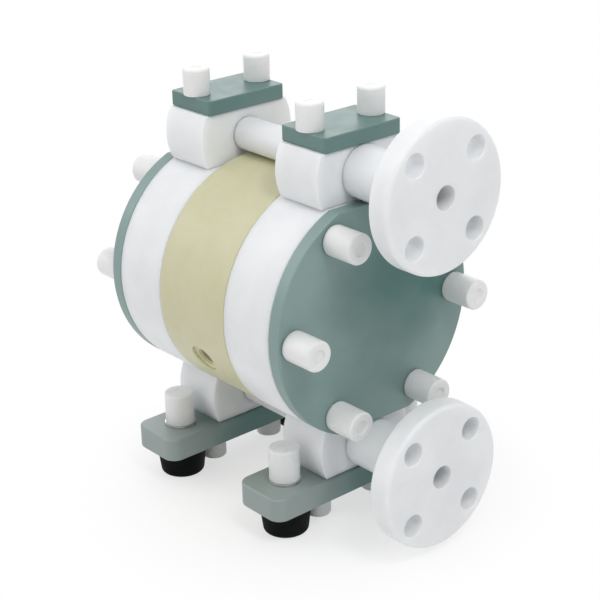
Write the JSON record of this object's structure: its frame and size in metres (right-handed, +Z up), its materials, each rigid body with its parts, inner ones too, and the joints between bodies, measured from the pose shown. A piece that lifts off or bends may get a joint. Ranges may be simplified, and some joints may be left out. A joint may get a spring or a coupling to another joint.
{
  "type": "air driven double diaphragm pump",
  "caption": "Chemical transfer pump with a round three-part body, flanged inlet and outlet pipes on one side, ball valve blocks above and below, clamp plates and rubber feet.",
  "frame": {"origin": "on the floor, under the middle of the bounding box", "axes": "+X along the shaft towards the flange faces, +Y to the far side, +Z up"},
  "size_m": [0.2516, 0.159, 0.2825],
  "materials": {
    "ptfe_white": "machined PTFE, waxy white",
    "body_beige": "moulded polypropylene, slightly translucent beige",
    "plate_green": "grey-green coating on cast metal",
    "steel": "stainless steel",
    "bolt_grey": "coated steel bolt",
    "foot_rubber": "black moulded rubber",
    "seal_rubber": "black sealing ring",
    "diaphragm_ptfe": "smooth PTFE sheet"
  },
  "bodies": {
    "pump_body": {"centre_body": "body_beige", "tie_rods": "steel", "end_washers": "steel", "chamber_right": "ptfe_white", "end_plate_right": "plate_green", "end_cap_nuts_right": "ptfe_white", "discharge_block_right": "ptfe_white", "discharge_seat_right": "ptfe_white", "discharge_cage_right": "ptfe_white", "suction_block_right": "ptfe_white", "suction_seat_right": "ptfe_white", "suction_cage_right": "ptfe_white", "clamp_plate_right": "plate_green", "foot_plate_right": "plate_green", "rubber_foot_front_right": "foot_rubber", "rubber_foot_rear_right": "foot_rubber", "chamber_left": "ptfe_white", "end_plate_left": "plate_green", "end_cap_nuts_left": "ptfe_white", "discharge_block_left": "ptfe_white", "discharge_seat_left": "ptfe_white", "discharge_cage_left": "ptfe_white", "suction_block_left": "ptfe_white", "suction_seat_left": "ptfe_white", "suction_cage_left": "ptfe_white", "clamp_plate_left": "plate_green", "foot_plate_left": "plate_green", "rubber_foot_front_left": "foot_rubber", "rubber_foot_rear_left": "foot_rubber", "discharge_link_tube": "ptfe_white", "discharge_flange_pipe": "ptfe_white", "suction_link_tube": "ptfe_white", "suction_flange_pipe": "ptfe_white", "valve_seal_rings": "seal_rubber", "link_tube_rings": "seal_rubber", "clamp_studs": "steel", "top_cap_nuts": "ptfe_white", "foot_plate_bolts": "bolt_grey", "foot_bolt_washers": "bolt_grey", "lower_cap_nuts": "ptfe_white", "foot_studs": "steel", "foot_washers": "steel", "foot_cap_nuts": "ptfe_white", "guide_bushes": "diaphragm_ptfe", "shaft_seals": "seal_rubber", "spool_sleeve": "steel", "spool_caps": "steel"},
    "shaft_set": {"centre_shaft": "steel", "inner_disc_right": "steel", "outer_disc_right": "ptfe_white", "diaphragm_right": "diaphragm_ptfe", "inner_disc_left": "steel", "outer_disc_left": "ptfe_white", "diaphragm_left": "diaphragm_ptfe"},
    "spool_piece": {"spool": "steel"},
    "pilot_piece": {"pilot_pin": "steel"},
    "discharge_check_right": {"discharge_ball_right": "ptfe_white"},
    "discharge_check_left": {"discharge_ball_left": "ptfe_white"},
    "suction_check_right": {"suction_ball_right": "ptfe_white"},
    "suction_check_left": {"suction_ball_left": "ptfe_white"}
  },
  "joints": [
    {"name": "shaft_stroke", "type": "slide", "parent": "pump_body", "child": "shaft_set", "axis": [1, 0, 0], "range_m": [-0.006, 0.006], "deforming": ["diaphragm_right", "diaphragm_left"]},
    {"name": "spool_shift", "type": "slide", "parent": "pump_body", "child": "spool_piece", "axis": [1, 0, 0], "range_m": [-0.003, 0.003]},
    {"name": "pilot_shift", "type": "slide", "parent": "pump_body", "child": "pilot_piece", "axis": [1, 0, 0], "range_m": [-0.003, 0.003]},
    {"name": "discharge_lift_right", "type": "slide", "parent": "pump_body", "child": "discharge_check_right", "axis": [0, 0, 1], "range_m": [0, 0.0045]},
    {"name": "discharge_lift_left", "type": "slide", "parent": "pump_body", "child": "discharge_check_left", "axis": [0, 0, 1], "range_m": [0, 0.0045]},
    {"name": "suction_lift_right", "type": "slide", "parent": "pump_body", "child": "suction_check_right", "axis": [0, 0, 1], "range_m": [0, 0.0045]},
    {"name": "suction_lift_left", "type": "slide", "parent": "pump_body", "child": "suction_check_left", "axis": [0, 0, 1], "range_m": [0, 0.0045]}
  ],
  "couplings": [
    {"joint": "pilot_shift", "follows": "shaft_stroke", "ratio": 0.5}
  ]
}
